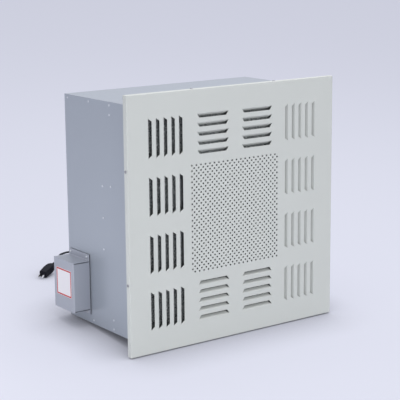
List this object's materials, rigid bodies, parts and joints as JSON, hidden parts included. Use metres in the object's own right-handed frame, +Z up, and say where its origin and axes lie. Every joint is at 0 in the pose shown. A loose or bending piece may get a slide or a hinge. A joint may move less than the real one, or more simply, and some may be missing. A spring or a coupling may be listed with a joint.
{
  "type": "hepa filter box",
  "caption": "Fan filter box: a square sheet-steel casing behind a louvred and perforated panel, with a centrifugal fan, a pleated fine filter, a side control box and a cord.",
  "frame": {"origin": "centre of the opening, on the back face of the mounting frame, which lies against the wall", "axes": "+X to the right seen from the room, +Y into the wall, +Z up the panel"},
  "size_m": [0.6834, 0.7725, 0.6648],
  "materials": {
    "panel_coat": "satin powder coat, very light warm grey",
    "casing_steel": "silver-grey coated sheet steel",
    "zinc_steel": "zinc-coated sheet steel",
    "dark_screws": "blackened steel",
    "rivet_metal": "bright",
    "coarse_fibre": "dark grey loose fibre",
    "filter_metal": "satin",
    "filter_paper": "matt glass-fibre paper",
    "foam": "closed-cell foam",
    "wheel_metal": "plain sheet",
    "motor_coat": "black coat",
    "motor_core": "lacquered laminations",
    "ground_steel": "ground",
    "box_coat": "light grey coat",
    "terminal_plastic": "matt",
    "capacitor_plastic": "gloss",
    "black_plastic": "matt",
    "black_rubber": "matt",
    "pin_nickel": "bright nickel plate"
  },
  "bodies": {
    "unit": {"front_panel": "panel_coat", "casing_left": "casing_steel", "casing_right": "casing_steel", "casing_top": "casing_steel", "casing_bottom": "casing_steel", "casing_back": "casing_steel", "mounting_frame": "zinc_steel", "corner_gussets": "zinc_steel", "mat_tray": "zinc_steel", "plenum_box": "zinc_steel", "plenum_bracket_left": "zinc_steel", "plenum_bracket_right": "zinc_steel", "inlet_ring": "zinc_steel", "motor_plate": "zinc_steel", "filter_clips": "zinc_steel", "panel_screws": "dark_screws", "clip_screws": "dark_screws", "box_screws": "dark_screws", "casing_rivets": "rivet_metal", "mat_left": "coarse_fibre", "mat_right": "coarse_fibre", "mat_top": "coarse_fibre", "mat_bottom": "coarse_fibre", "filter_frame": "filter_metal", "filter_pleats": "filter_paper", "outlet_seal": "foam", "filter_seal": "foam", "box_gasket": "foam", "motor_stator": "motor_core", "motor_bearings": "ground_steel", "control_box_base": "box_coat", "control_box_cover": "box_coat", "terminal_block": "terminal_plastic", "capacitor": "capacitor_plastic", "cable_gland": "black_plastic", "cord_tie": "black_plastic", "wall_grommet": "black_rubber", "cord_sleeve": "black_rubber", "power_cord_lead": "black_rubber", "power_cord_end": "black_rubber", "power_cord_coil": "black_rubber", "plug_body": "black_rubber", "plug_pins": "pin_nickel"},
    "impeller": {"wheel_backplate": "wheel_metal", "wheel_blades": "wheel_metal", "wheel_shroud": "wheel_metal", "motor_rotor": "motor_coat", "motor_shaft": "ground_steel"}
  },
  "joints": [
    {"name": "impeller_spin", "type": "hinge", "parent": "unit", "child": "impeller", "pos_m": [0, 0.19, 0], "axis": [0, 1, 0], "continuous": true}
  ]
}
